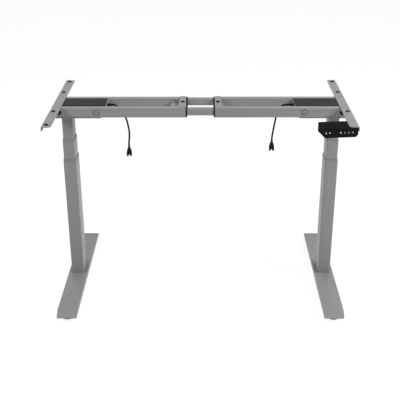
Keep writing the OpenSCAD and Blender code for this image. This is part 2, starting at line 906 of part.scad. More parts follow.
module cord_tube(route, r, sides, steps) {
    path = curve(route, steps);
    count = len(path);
    points = [for (i = [0 : count - 1]) each ring(path, i, r, sides)];
    walls = [
        for (i = [0 : count - 2], k = [0 : sides - 1])
            let (
                next = (k + 1) % sides,
                low = i * sides,
                high = low + sides
            )
            each [[low + k, low + next, high + k], [low + next, high + next, high + k]]
    ];
    first_cap = [for (k = [0 : sides - 1]) sides - 1 - k];
    last_cap = [for (k = [0 : sides - 1]) (count - 1) * sides + k];
    polyhedron(points = points, faces = concat(walls, [first_cap, last_cap]));
}

module motor_cable(side) {
    color(black_plastic)
        cord_tube(side < 0 ? left_cable_route : right_cable_route, cable_r, cable_sides, cable_steps);
}

// Plug with its strain relief, hanging from the end of its cable
module motor_plug(side) {
    route = side < 0 ? left_cable_route : right_cable_route;
    color(black_plastic)
        translate(route[len(route) - 1]) {
            translate([0, 0, -plug_relief_l])
                cylinder(r1 = relief_big_r, r2 = cable_r + slide_gap, h = plug_relief_l, $fn = small_fn);
            translate([0, plug_depth / 2, -plug_relief_l])
                rotate([90, 0, 0])
                    linear_extrude(plug_depth)
                        polygon([
                            [-plug_top_w / 2 + plug_shoulder, 0],
                            [plug_top_w / 2 - plug_shoulder, 0],
                            [plug_top_w / 2, -plug_shoulder],
                            [plug_low_w / 2, -plug_l / 2],
                            [plug_low_w / 2, -plug_l + plug_prong_chamfer],
                            [plug_low_w / 2 - plug_prong_chamfer, -plug_l],
                            [plug_notch_w / 2, -plug_l],
                            [plug_notch_w / 2, -plug_l + plug_notch_h],
                            [-plug_notch_w / 2, -plug_l + plug_notch_h],
                            [-plug_notch_w / 2, -plug_l],
                            [-plug_low_w / 2 + plug_prong_chamfer, -plug_l],
                            [-plug_low_w / 2, -plug_l + plug_prong_chamfer],
                            [-plug_low_w / 2, -plug_l / 2],
                            [-plug_top_w / 2, -plug_shoulder]
                        ]);
        }
}

// Turns what it draws about the handset's screw
module handset_place() {
    translate([handset_screw_x, handset_screw_y, 0])
        rotate([0, 0, handset_turn])
            translate([-handset_screw_x, -handset_screw_y, 0])
                children();
}

// The handset's outside, shrunk by a wall for its inside; its low front corners are cut off
module handset_block(inset) {
    r = handset_edge_r;
    edges = [
        [[handset_rear - r, handset_top - r], 0],
        [brow_corner, 0],
        [jaw_corner, 0],
        [nose_corner, handset_low_corner],
        [[handset_nose + handset_chin_in, handset_top - handset_chin_drop + r], handset_low_corner],
        [[handset_rear - r, handset_top - handset_rear_drop + r], 0]
    ];
    hull()
        for (edge = edges)
            translate([handset_left + inset + edge[1], edge[0][0], edge[0][1]])
                rotate([0, 90, 0])
                    cylinder(r = r - inset, h = handset_l - 2 * (inset + edge[1]), $fn = small_fn);
}

// Everything above the handset's parting line
module above_split(gap) {
    along_x(handset_left - cut, handset_right + cut)
        polygon([
            [handset_rear + cut, handset_top - handset_split_drop + handset_edge_r + gap],
            [handset_rear + cut, handset_top + cut],
            [handset_nose - cut, handset_top + cut],
            [handset_nose - cut, handset_top - handset_face_drop - handset_edge_r + gap],
            [handset_brow, handset_top - handset_face_drop + handset_edge_r + gap]
        ]);
}

module handset_shell() {
    difference() {
        handset_block(0);
        handset_block(handset_wall);
    }
}

// Places one key's drawing on the sloped face
module on_face(key_x) {
    translate([key_x, face_middle[0], face_middle[1]])
        rotate([face_angle, 0, 0])
            children();
}

function key_places() = concat(
    [for (i = [0, 1]) handset_left + lift_key_first + i * lift_key_pitch],
    [for (i = [0 : 3]) handset_left + preset_key_first + i * preset_key_pitch]
);

module handset_upper_shell() {
    color(black_plastic)
        handset_place()
            difference() {
                intersection() {
                    handset_shell();
                    above_split(handset_split_gap);
                }
                for (key_x = key_places())
                    on_face(key_x)
                        translate([0, 0, -key_depth])
                            linear_extrude(2 * key_depth)
                                round_rect(key_w + 2 * key_gap, key_h + 2 * key_gap, key_corner_r + key_gap);
                for (hole_x = [handset_screw_x, handset_spare_hole_x])
                    translate([hole_x, handset_screw_y, handset_top - 2 * handset_wall])
                        cylinder(r = handset_hole_r, h = 2 * handset_wall + cut);
            }
}

module handset_lower_shell() {
    color(black_plastic)
        handset_place()
            difference() {
                handset_shell();
                above_split(0);
            }
}

module key(index) {
    color(black_plastic)
        handset_place()
            on_face(key_places()[index])
                translate([0, 0, key_proud - key_depth])
                    linear_extrude(key_depth)
                        round_rect(key_w, key_h, key_corner_r);
}

// How far a glide screws out
echo(glide_travel = glide_travel);

// Length of each cable, from its strain relief to its plug
echo(left_cable_length = path_length(curve(left_cable_route, cable_steps)));
echo(right_cable_length = path_length(curve(right_cable_route, cable_steps)));

centre_rails();
cross_plate(-1);  // left_cross_plate
outer_rails(-1);  // left_outer_rails
outer_rails(1);  // right_outer_rails
rail_bridge(-1);  // left_rail_bridge
rail_bridge(1);  // right_rail_bridge
rail_caps(-1);  // left_rail_caps
rail_caps(1);  // right_rail_caps
side_bracket(-1);  // left_side_bracket
side_bracket(1);  // right_side_bracket
bracket_grommets(-1);  // left_bracket_grommets
bracket_grommets(1);  // right_bracket_grommets
motor_tray(-1);  // left_motor_tray
motor_tray(1);  // right_motor_tray
motor_cover(-1);  // left_motor_cover
motor_cover(1);  // right_motor_cover
gearmotor(-1);  // left_gearmotor
gearmotor(1);  // right_gearmotor
frame_screws(-1);  // left_frame_screws
frame_screws(1);  // right_frame_screws
upper_tube(-1);  // left_upper_tube
upper_tube(1);  // right_upper_tube
spindle_nut(-1);  // left_spindle_nut
spindle_nut(1);  // right_spindle_nut
drive_spindle(-1);  // left_drive_spindle
drive_spindle(1);  // right_drive_spindle
cable_gland(-1);  // left_cable_gland
cable_gland(1);  // right_cable_gland
motor_cable(-1);  // left_motor_cable
motor_cable(1);  // right_motor_cable
motor_plug(-1);  // left_motor_plug
motor_plug(1);  // right_motor_plug
middle_tube(-1);  // left_middle_tube
middle_tube(1);  // right_middle_tube
middle_collar(-1);  // left_middle_collar
middle_collar(1);  // right_middle_collar
hollow_spindle(-1);  // left_hollow_spindle
hollow_spindle(1);  // right_hollow_spindle
lower_tube(-1);  // left_lower_tube
lower_tube(1);  // right_lower_tube
lower_collar(-1);  // left_lower_collar
lower_collar(1);  // right_lower_collar
base_spindle(-1);  // left_base_spindle
base_spindle(1);  // right_base_spindle
foot(-1);  // left_foot
foot(1);  // right_foot
foot_bolts(-1);  // left_foot_bolts
foot_bolts(1);  // right_foot_bolts
glide(-1, -1);  // left_front_glide
glide(1, -1);  // right_front_glide
glide(-1, 1);  // left_rear_glide
glide(1, 1);  // right_rear_glide
handset_upper_shell();
handset_lower_shell();
key(0);  // up_button
key(1);  // down_button
key(2);  // memory_button
key(3);  // preset_button_1
key(4);  // preset_button_2
key(5);  // preset_button_3
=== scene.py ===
"""Looks of a height-adjustable desk frame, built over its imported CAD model.

Every length is in metres in the CAD model's own frame: X from the left column to the right one,
Y from front to rear, Z up from the floor. Sizes in millimetres go through mm().
"""

import logging
import math
from dataclasses import asdict, dataclass
from enum import Enum
from typing import Any, Callable, Sequence

import bmesh
import bpy
from bmesh.types import BMEdge, BMesh
from bpy.types import Material, Mesh, Node, NodeSocket, NodeTree, Object
from mathutils import Matrix, Vector


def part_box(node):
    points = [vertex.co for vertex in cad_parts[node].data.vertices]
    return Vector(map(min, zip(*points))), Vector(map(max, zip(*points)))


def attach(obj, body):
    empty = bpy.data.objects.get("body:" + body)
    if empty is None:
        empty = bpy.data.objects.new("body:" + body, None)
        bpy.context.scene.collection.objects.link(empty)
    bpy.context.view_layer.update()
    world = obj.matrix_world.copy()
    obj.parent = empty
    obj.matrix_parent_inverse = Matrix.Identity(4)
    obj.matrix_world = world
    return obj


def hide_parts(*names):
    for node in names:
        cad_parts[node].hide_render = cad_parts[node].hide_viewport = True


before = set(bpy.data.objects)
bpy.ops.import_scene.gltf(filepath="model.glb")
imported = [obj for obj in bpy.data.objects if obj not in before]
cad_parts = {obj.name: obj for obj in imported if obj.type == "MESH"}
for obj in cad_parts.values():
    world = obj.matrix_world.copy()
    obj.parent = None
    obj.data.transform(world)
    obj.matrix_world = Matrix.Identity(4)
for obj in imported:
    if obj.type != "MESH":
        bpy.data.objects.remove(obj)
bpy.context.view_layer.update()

LOG = logging.getLogger("desk_frame")
MERGE_DISTANCE = 1e-6
FLAT_ANGLE = math.radians(0.4)
SHARP_ANGLE = math.radians(28)
FACES_ALIKE = 0.95
WAVE_FACTOR = 20  # The wave texture takes 20 times a place as its angle.
WHITE = (1.0, 1.0, 1.0, 1.0)
ALONG_X = Vector((1, 0, 0))
UPWARD = Vector((0, 0, 1))

Corners = Sequence[tuple[float, float]]
Place = tuple[float, float, float]


def mm(value: float) -> float:
    """Returns a length in millimetres as metres."""
    return value / 1000


def pattern_scale(size_mm: float) -> float:
    """Returns the texture scale at which one cell of a pattern is size_mm wide."""
    return 1000 / size_mm


def linear_colour(hex_value: str) -> tuple[float, ...]:
    """Turns an sRGB colour into the linear one that a shader takes.

    Args:
        hex_value: The colour as "#rrggbb".

    Returns:
        Red, green, blue and alpha.
    """
    channels = [int(hex_value[i : i + 2], 16) / 255 for i in (1, 3, 5)]
    linear = [c / 12.92 if c <= 0.04045 else ((c + 0.055) / 1.055) ** 2.4 for c in channels]
    return (*linear, 1.0)


def add_node(
    tree: NodeTree, kind: str, inputs: dict[str | int, Any] | None = None, **settings: Any
) -> Node:
    """Adds one node to a tree.

    Args:
        tree: The tree.
        kind: The node's type name.
        inputs: What its inputs take, by name or number: a value, another node's output, or a list
            of outputs for an input that takes several.
        settings: Properties of the node.

    Returns:
        The node.
    """
    node = tree.nodes.new(kind)
    for name, value in settings.items():
        setattr(node, name, value)
    for key, value in (inputs or {}).items():
        for source in value if isinstance(value, list) else [value]:
            if isinstance(source, NodeSocket):
                tree.links.new(source, node.inputs[key])
            else:
                node.inputs[key].default_value = source
    return node


def add_object(name: str, data: Any) -> Object:
    """Adds an object with its data to the scene and returns it."""
    made = bpy.data.objects.new(name, data)
    bpy.context.scene.collection.objects.link(made)
    return made


class End(Enum):
    """One of two ends."""

    def named(self, part: str) -> str:
        """Returns the name of a node, body or piece at this end."""
        return f"{self.name.lower()}_{part}"


class Side(End):
    """The two ends of the frame."""

    LEFT = -1
    RIGHT = 1


class Front(End):
    """The two ends of a foot or bracket."""

    FRONT = -1
    REAR = 1


# Finishes


@dataclass(frozen=True)
class Pattern:
    """A procedural pattern of noise.

    Attributes:
        cell_mm: Width of one blotch or cell, or the distance from one band to the next.
        amount: Share of the tone, spread of the roughness or height in millimetres; 0 for none.
        detail: Finer layers of the noise.
        stretch: How many times longer a blotch is along Z than across.
    """

    cell_mm: float = 1.0
    amount: float = 0.0
    detail: float = 2.0
    stretch: float = 1.0

    def output(self, tree: NodeTree, place: NodeSocket) -> NodeSocket:
        """Adds the pattern's nodes and returns its value at a place."""
        drawn_out = {"Vector": place, "Scale": (1.0, 1.0, 1 / self.stretch)}
        if self.stretch != 1:
            place = add_node(tree, "ShaderNodeMapping", drawn_out).outputs["Vector"]
        cells = {"Vector": place, "Scale": pattern_scale(self.cell_mm), "Detail": self.detail}
        return add_node(tree, "ShaderNodeTexNoise", cells).outputs["Fac"]


class Grain(Pattern):
    """Round cells, side by side."""

    def output(self, tree: NodeTree, place: NodeSocket) -> NodeSocket:
        """Adds the grain's node; see Pattern."""
        cells = {"Vector": place, "Scale": pattern_scale(self.cell_mm)}
        return add_node(tree, "ShaderNodeTexVoronoi", cells).outputs["Distance"]


class Bands(Pattern):
    """Level bands, one above the other."""

    def output(self, tree: NodeTree, place: NodeSocket) -> NodeSocket:
        """Adds the bands' node; see Pattern."""
        scale = pattern_scale(self.cell_mm) * math.tau / WAVE_FACTOR
        bands = {"Vector": place, "Scale": scale, "Distortion": 0.0}
        return add_node(tree, "ShaderNodeTexWave", bands, bands_direction="Z").outputs["Fac"]


@dataclass(frozen=True)
class Finish:
    """What every finish has, and how it becomes a material.

    Attributes:
        colour: sRGB colour.
        roughness: Roughness in the middle of its range.
        slot: The record's material slot meant for a piece with this finish, which no piece is given
            here.
        gloss: Level of what it mirrors.
        tone: What its colour drifts with, to a darker and a lighter one.
        sheen: What its roughness drifts with, to either side.
        relief: What its surface rises with, and strength how strongly that shows.
    """

    name: str
    colour: str
    roughness: float
    slot: str = ""
    gloss: float = 0.5
    ior: float = 1.5
    metallic: float = 0.0
    tone: Pattern = Pattern()
    sheen: Pattern = Pattern()
    relief: Pattern = Pattern()
    strength: float = 0.3

    def material(self) -> Material:
        """Makes the material, or finds it if it is already made."""
        found = bpy.data.materials.get(self.name)
        if found is not None:
            return found
        made = bpy.data.materials.new(self.name)
        made.use_nodes = True
        tree = made.node_tree
        tree.nodes.clear()
        constants = {
            "Base Color": linear_colour(self.colour),
            "Roughness": self.roughness,
            "Specular IOR Level": self.gloss,
            "IOR": self.ior,
            "Metallic": self.metallic,
        }
        shader = add_node(tree, "ShaderNodeBsdfPrincipled", constants)
        self.link_patterns(tree, shader)
        add_node(tree, "ShaderNodeOutputMaterial", {"Surface": shader.outputs["BSDF"]})
        made.diffuse_color = linear_colour(self.colour)
        return made

    def link_patterns(self, tree: NodeTree, shader: Node) -> None:
        """Links the finish's patterns to its shader."""
        place = add_node(tree, "ShaderNodeTexCoord").outputs["Object"]
        if self.tone.amount:
            darker, lighter = (
                [min(1.0, c * (1 + way * self.tone.amount)) for c in linear_colour(self.colour)[:3]]
                for way in (-1, 1)
            )
            ends = {"A": (*darker, 1.0), "B": (*lighter, 1.0)}
            ends["Factor"] = self.tone.output(tree, place)
            mixed = add_node(tree, "ShaderNodeMix", ends, data_type="RGBA")
            tree.links.new(mixed.outputs["Result"], shader.inputs["Base Color"])
        if self.sheen.amount:
            low, high = self.roughness - self.sheen.amount, self.roughness + self.sheen.amount
            ends = {"Value": self.sheen.output(tree, place), "To Min": low, "To Max": high}
            drift = add_node(tree, "ShaderNodeMapRange", ends)
            tree.links.new(drift.outputs["Result"], shader.inputs["Roughness"])
        if self.relief.amount:
            rise = {"Distance": mm(self.relief.amount), "Strength": self.strength}
            rise["Height"] = self.relief.output(tree, place)
            bump = add_node(tree, "ShaderNodeBump", rise)
            tree.links.new(bump.outputs["Normal"], shader.inputs["Normal"])


@dataclass(frozen=True)
class PowderCoat(Finish):
    """Powder coat, baked on steel.

    Its skin has a faint orange peel, which blurs what it mirrors and breaks up the highlights, and
    it brightens at a glancing angle. The real peel is about 1 mm wide and is drawn wider to show.
    """

    gloss: float = 0.3
    tone: Pattern = Pattern(160.0, 0.025, 3.0)
    sheen: Pattern = Pattern(40.0, 0.04)
    relief: Pattern = Pattern(3.0, 0.05, 1.0)
    strength: float = 0.35


@dataclass(frozen=True)
class MouldedPlastic(Finish):
    """Injection-moulded plastic with a spark-eroded grain.

    The grain scatters the highlight, so that the plastic looks soft and slightly grey. The real
    grain is about 0.3 mm wide and is drawn wider to show.
    """

    gloss: float = 0.12
    ior: float = 1.53
    tone: Pattern = Pattern(60.0, 0.06)
    relief: Pattern = Grain(1.2, 0.04)


@dataclass(frozen=True)
class Rubber(Finish):
    """Moulded synthetic rubber: matt, with a dusty bloom that greys its high spots."""

    gloss: float = 0.05
    ior: float = 1.52
    tone: Pattern = Pattern(9.0, 0.2, 4.0)
    relief: Pattern = Pattern(1.5, 0.03, 1.0)


@dataclass(frozen=True)
class CableSheath(Finish):
    """Extruded PVC sheath: smooth, with the long faint draw marks of the die.

    The marks are drawn out along the height in which the cable hangs.
    """

    gloss: float = 0.08
    ior: float = 1.53
    sheen: Pattern = Pattern(1.0, 0.06, stretch=12.0)
    relief: Pattern = Pattern(1.0, 0.02, stretch=12.0)


@dataclass(frozen=True)
class PlatedSteel(Finish):
    """Zinc-plated steel: bright, with fine turning marks and cloudy patches in the plating."""

    metallic: float = 1.0
    tone: Pattern = Pattern(6.0, 0.08, 3.0)
    sheen: Pattern = Pattern(6.0, 0.08, 3.0)
    relief: Pattern = Pattern(0.8, 0.01, 1.0)
    strength: float = 0.2


@dataclass(frozen=True)
class RolledThread(Finish):
    """Rolled steel or brass thread: raised rings a pitch apart, with painted shading lighter on
    each ring and darker between.
    """

    metallic: float = 1.0
    # Painted shading: the colour bands follow the raised bands, lighter where the thread stands
    # out.
    tone: Pattern = Bands(8.0, 0.12)
    relief: Pattern = Bands(8.0, 0.8)
    strength: float = 0.6


@dataclass(frozen=True)
class PrintedInk(Finish):
    """Pad-printed ink: flat and thin, so the grain of what is under it breaks its edge and tone."""

    tone: Pattern = Pattern(0.9, 0.08)


PAINT = PowderCoat("powder_coated_steel", "#7f7e7d", 0.4, "grey_paint")
COLLAR_PLASTIC = MouldedPlastic("acetal_guide_collar", "#797877", 0.5, "grey_plastic")
WIPER_PLASTIC = MouldedPlastic("acetal_wiper_lip", "#0f0f0f", 0.5, gloss=0.02)
COVER_PLASTIC = MouldedPlastic("textured_abs_cover", "#2d2d2d", 0.6, "cover_plastic", 0.04)
CASE_PLASTIC = MouldedPlastic(
    "textured_abs_black", "#161616", 0.7, "black_plastic", 0.01, relief=Grain(1.0, 0.04)
)
CAP_PLASTIC = MouldedPlastic(
    "moulded_nylon_black", "#0d0d0d", 0.5, "black_plastic", relief=Grain(1.5, 0.04)
)
KEY_PLASTIC = MouldedPlastic(
    "silicone_key_black", "#101010", 0.5, "key_plastic", relief=Grain(0.9, 0.04)
)
PAD_RUBBER = Rubber("nitrile_rubber_black", "#0a0a0a", 0.72, "rubber")
SHEATH = CableSheath("pvc_cable_sheath", "#070707", 0.6, "cable_sheath")
ZINC = PlatedSteel("zinc_plated_steel", "#b5b6b7", 0.34, "plated_steel")
MOTOR_STEEL = PlatedSteel("drawn_motor_steel", "#8f9092", 0.4)
SPINDLE_STEEL = RolledThread("rolled_spindle_steel", "#a9a9a8", 0.28)
NUT_BRASS = RolledThread("turned_brass", "#b79a5b", 0.32)
KEY_INK = PrintedInk("white_pad_print", "#f2f2f0", 0.5, "key_plastic")


# Making pieces


def finish_piece(
    name: str, mesh: Mesh, body: str, finish: Finish, replaces: Sequence[str] = (), slot: str = ""
) -> Object:
    """Makes a mesh a finished piece of the object.

    Args:
        name: The piece's name.
        mesh: Its mesh, already in place.
        body: The CAD body that it rides on.
        finish: Its finish.
        replaces: The CAD nodes that it stands for.
        slot: The record's material slot, where it isn't the finish's; not used.

    Returns:
        The piece.
    """
    mesh.name = name
    mesh.materials.clear()
    mesh.materials.append(finish.material())
    mesh.shade_smooth()
    mesh.set_sharp_from_angle(angle=SHARP_ANGLE)
    piece = add_object(name, mesh)
    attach(piece, body)
    slot or finish.slot
    if replaces:
        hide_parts(*replaces)
    LOG.info("piece %s: %d faces, on %s, %s", name, len(mesh.polygons), body, finish.name)
    return piece


def repaint(piece: Object, finish: Finish, direction: Vector) -> None:
    """Gives the faces of a piece that look in one direction a second finish."""
    piece.data.materials.append(finish.material())
    for face in piece.data.polygons:
        if face.normal.dot(direction) > FACES_ALIKE:
            face.material_index = 1


def dress_node(node: str, finish: Finish) -> None:
    """Gives a CAD node that stays its material."""
    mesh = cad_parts[node].data
    mesh.materials.clear()
    mesh.materials.append(finish.material())
    LOG.info("node %s: %s", node, finish.name)


def mesh_from(shape: BMesh) -> Mesh:
    """Writes a BMesh out as a mesh and frees it."""
    mesh = bpy.data.meshes.new("shape")
    shape.to_mesh(mesh)
    shape.free()
    return mesh


def plain_mesh(holder: Object) -> Mesh:
    """Returns what an object's modifiers or text make of it, and removes the object."""
    bpy.context.view_layer.update()
    graph = bpy.context.evaluated_depsgraph_get()
    mesh = bpy.data.meshes.new_from_object(holder.evaluated_get(graph), depsgraph=graph)
    bpy.data.objects.remove(holder)
    return mesh


def is_sharp(edge: BMEdge) -> bool:
    """Tells if an edge joins two faces at a clear corner."""
    return edge.is_manifold and edge.calc_face_angle(0.0) > SHARP_ANGLE


@dataclass(frozen=True)
class Rounding:
    """One round of softening, of the edges that chosen says yes to."""

    radius_mm: float
    segments: int = 3
    chosen: Callable[[BMEdge], bool] = is_sharp


def cad_copy(node: str) -> BMesh:
    """Returns a copy of a CAD node's mesh, merged and with its flat faces joined."""
    shape = bmesh.new()
    shape.from_mesh(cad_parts[node].data)
    bmesh.ops.remove_doubles(shape, verts=shape.verts, dist=MERGE_DISTANCE)
    bmesh.ops.dissolve_limit(shape, angle_limit=FLAT_ANGLE, verts=shape.verts, edges=shape.edges)
    return shape


def softened(node: str, *roundings: Rounding) -> Mesh:
    """Returns a copy of a CAD node's mesh with its edges rounded, in one or more rounds."""
    shape = cad_copy(node)
    for rounding in roundings:
        edges = [edge for edge in shape.edges if is_sharp(edge) and rounding.chosen(edge)]
        if not edges:
            LOG.warning("nothing to round at %.2f mm on %s", rounding.radius_mm, node)
            continue
        bmesh.ops.bevel(
            shape, geom=edges, offset=mm(rounding.radius_mm), offset_type="OFFSET",
            segments=rounding.segments, profile=0.5, affect="EDGES", clamp_overlap=True,
        )
    return mesh_from(shape)


def lathe(profile: Corners, segments: int, place: Matrix = Matrix.Identity(4)) -> Mesh:
    """Turns a profile about Z.

    Args:
        profile: Radius and height of each point in metres, from the bottom, out and up.
        segments: Faces round the axis.
        place: Where the shape then goes.

    Returns:
        The closed shape.
    """
    shape = bmesh.new()
    points = [shape.verts.new((radius, 0.0, height)) for radius, height in profile]
    edges = [shape.edges.new(pair) for pair in zip(points, points[1:])]
    bmesh.ops.spin(shape, geom=points + edges, axis=UPWARD, angle=math.tau, steps=segments)
    bmesh.ops.remove_doubles(shape, verts=shape.verts, dist=MERGE_DISTANCE)
    bmesh.ops.recalc_face_normals(shape, faces=shape.faces)
    mesh = mesh_from(shape)
    mesh.transform(place)
    return mesh


# Geometry Nodes


class NodeShape:
    """A Geometry Nodes tree, with its inputs, that ends in Realize Instances and Set Material."""

    def __init__(self, name: str, sizes: dict[str, float]) -> None:
        """Starts a tree whose inputs are sizes: lengths in metres and whole numbers, by name."""
        self.tree = bpy.data.node_groups.new(name, "GeometryNodeTree")
        self.sizes = sizes
        kinds = {"Geometry": "Geometry"}
        kinds |= {key: "Int" if isinstance(v, int) else "Float" for key, v in sizes.items()}
        kinds["Finish"] = "Material"
        new_socket = self.tree.interface.new_socket
        for key, kind in kinds.items():
            new_socket(key, in_out="INPUT", socket_type=f"NodeSocket{kind}")
        new_socket("Geometry", in_out="OUTPUT", socket_type="NodeSocketGeometry")
        self.entry = add_node(self.tree, "NodeGroupInput")

    def size(self, key: str) -> NodeSocket:
        """Returns a named input's socket."""
        return self.entry.outputs[key]

    def add(
        self, kind: str, inputs: dict[str | int, Any], output: str | int = 0, **settings: Any
    ) -> NodeSocket:
        """Adds a node to the tree, as add_node does, and returns one of its outputs."""
        return add_node(self.tree, kind, inputs, **settings).outputs[output]

    def sum(self, operation: str, first: Any, second: Any) -> NodeSocket:
        """Works out two sockets or numbers with one of the Math node's operations."""
        return self.add("ShaderNodeMath", {0: first, 1: second}, operation=operation)

    def raised(self, geometry: NodeSocket, height: Any) -> NodeSocket:
        """Returns the geometry moved up by a height."""
        offset = self.add("ShaderNodeCombineXYZ", {"Z": height})
        return self.add("GeometryNodeTransform", {"Geometry": geometry, "Translation": offset})

    def made(self, result: NodeSocket, finish: Finish, places: Sequence[Vector] = ()) -> Mesh:
        """Ends the tree, runs it on points at the places and returns a plain mesh."""
        real = self.add("GeometryNodeRealizeInstances", {"Geometry": result})
        dressed = {"Geometry": real, "Material": self.size("Finish")}
        add_node(self.tree, "NodeGroupOutput", {0: self.add("GeometryNodeSetMaterial", dressed)})
        points = bpy.data.meshes.new("places")
        points.from_pydata([tuple(place) for place in places], [], [])
        carrier = add_object("carrier", points)
        modifier = carrier.modifiers.new("shape", "NODES")
        modifier.node_group = self.tree
        values = {**self.sizes, "Finish": finish.material()}
        for item in self.tree.interface.items_tree:
            if item.in_out == "INPUT" and item.name in values:
                modifier[item.identifier] = values[item.name]
        return plain_mesh(carrier)

    def copied(
        self, instance: NodeSocket, finish: Finish, places: Sequence[Vector], **inputs: Any
    ) -> Mesh:
        """Ends the tree with a copy of an instance at each place; see made."""
        points = {"Points": self.size("Geometry"), "Instance": instance, **inputs}
        return self.made(self.add("GeometryNodeInstanceOnPoints", points), finish, places)


@dataclass(frozen=True)
class BoxTube:
    """A standing rectangular tube with round corners, centred on the Z axis.

    Its width is along X and its depth along Y, both outside, as is the corner's radius.
    """

    width: float
    depth: float
    corner: float
    wall: float
    bottom: float
    top: float
    corner_steps: int = 8

    def mesh(self) -> Mesh:
        """Returns the tube's mesh."""
        shape = NodeShape("box_tube", asdict(self))
        outlines = [self.outline(shape, inset) for inset in (0.0, shape.size("wall"))]
        both = shape.add("GeometryNodeJoinGeometry", {0: outlines})
        ring = shape.add("GeometryNodeFillCurve", {"Curve": both})
        placed = shape.raised(ring, shape.size("bottom"))
        height = shape.sum("SUBTRACT", shape.size("top"), shape.size("bottom"))
        walls = shape.add(
            "GeometryNodeExtrudeMesh",
            {"Mesh": placed, "Offset": UPWARD, "Offset Scale": height, "Individual": False},
            mode="FACES",
        )
        under = shape.add("GeometryNodeFlipFaces", {"Mesh": placed})
        whole = shape.add("GeometryNodeJoinGeometry", {0: [walls, under]})
        closed = {"Geometry": whole, "Distance": MERGE_DISTANCE}
        return shape.made(shape.add("GeometryNodeMergeByDistance", closed), PAINT)

    @staticmethod
    def outline(shape: NodeShape, inset: Any) -> NodeSocket:
        """Adds the tube's outline, drawn in by an inset, and returns it."""
        twice = shape.sum("MULTIPLY", inset, 2.0)
        sides = {
            name: shape.sum("SUBTRACT", shape.size(size), twice)
            for name, size in (("Width", "width"), ("Height", "depth"))
        }
        plain = shape.add("GeometryNodeCurvePrimitiveQuadrilateral", sides)
        radius = shape.sum("SUBTRACT", shape.size("corner"), inset)
        rounded = {"Curve": plain, "Count": shape.size("corner_steps"), "Radius": radius}
        return shape.add("GeometryNodeFilletCurve", rounded, mode="POLY")


@dataclass(frozen=True)
class Fastener:
    """A screw or bolt: a chamfered head with a socket, on a plain shank. Lengths in millimetres."""

    head_r: float
    head_h: float
    chamfer: float
    drive_r: float
    drive_depth: float
    shank_r: float
    shank_l: float
    drive_sides: int = 6
    round_steps: int = 40

    def at_places(self, places: Sequence[Vector], axis: Vector, finish: Finish) -> Mesh:
        """Returns one mesh with a copy whose head stands on each place and points along an axis."""
        sizes = {key: v if isinstance(v, int) else mm(v) for key, v in asdict(self).items()}
        shape = NodeShape("fastener", sizes)
        size = shape.size
        straight = shape.sum("SUBTRACT", size("head_h"), size("chamfer"))
        barrel, shank, socket = (
            shape.add(
                "GeometryNodeMeshCylinder",
                {"Vertices": size(sides), "Radius": size(radius), "Depth": depth},
            )
            for sides, radius, depth in (
                ("round_steps", "head_r", straight),
                ("round_steps", "shank_r", size("shank_l")),
                ("drive_sides", "drive_r", shape.sum("MULTIPLY", size("drive_depth"), 2.0)),
            )
        )
        cone = {
            "Vertices": size("round_steps"),
            "Radius Top": shape.sum("SUBTRACT", size("head_r"), size("chamfer")),
            "Radius Bottom": size("head_r"),
            "Depth": size("chamfer"),
        }
        crown = shape.add("GeometryNodeMeshCone", cone)
        parts = [
            shape.raised(barrel, shape.sum("MULTIPLY", straight, 0.5)),
            shape.raised(crown, straight),
            shape.raised(shank, shape.sum("MULTIPLY", size("shank_l"), -0.5)),
        ]
        drive = shape.raised(socket, size("head_h"))
        boolean = "GeometryNodeMeshBoolean"
        solid = shape.add(boolean, {"Mesh 2": parts}, operation="UNION", solver="EXACT")
        both = {"Mesh 1": solid, "Mesh 2": drive}
        cut = shape.add(boolean, both, operation="DIFFERENCE", solver="EXACT")
        turn = shape.add("FunctionNodeAlignRotationToVector", {"Vector": axis}, axis="Z")
        return shape.copied(cut, finish, places, Rotation=turn)


# Camera and studio


@dataclass(frozen=True)
class ViewPoint:
    """The camera, where the picture was taken from; it looks down by its pitch, in degrees."""

    place: Place = (0.018427, -2.905242, 1.681025)
    pitch: float = 24.673
    yaw: float = 0.415
    roll: float = -0.161
    lens: float = 71.776
    sensor: float = 36.0

    def build(self) -> None:
        """Makes the camera."""
        data = bpy.data.cameras.new("camera")
        data.lens, data.sensor_width, data.sensor_fit = self.lens, self.sensor, "HORIZONTAL"
        camera = add_object("camera", data)
        stand = Matrix.Translation(self.place)
        for angle, axis in ((self.yaw, "Z"), (90 - self.pitch, "X"), (self.roll, "Z")):
            stand = stand @ Matrix.Rotation(math.radians(angle), 4, axis)
        camera.matrix_world = stand
        bpy.context.scene.camera = camera


@dataclass(frozen=True)
class SoftBox:
    """A large white square lamp that points at a place."""

    name: str
    place: Place
    aim: Place
    size: float
    power: float

    def build(self) -> None:
        """Makes the lamp."""
        data = bpy.data.lights.new(self.name, "AREA")
        data.shape, data.size, data.energy = "SQUARE", self.size, self.power
        way = Vector(self.aim) - Vector(self.place)
        facing = way.to_track_quat("-Z", "Y").to_matrix().to_4x4()
        add_object(self.name, data).matrix_world = Matrix.Translation(self.place) @ facing


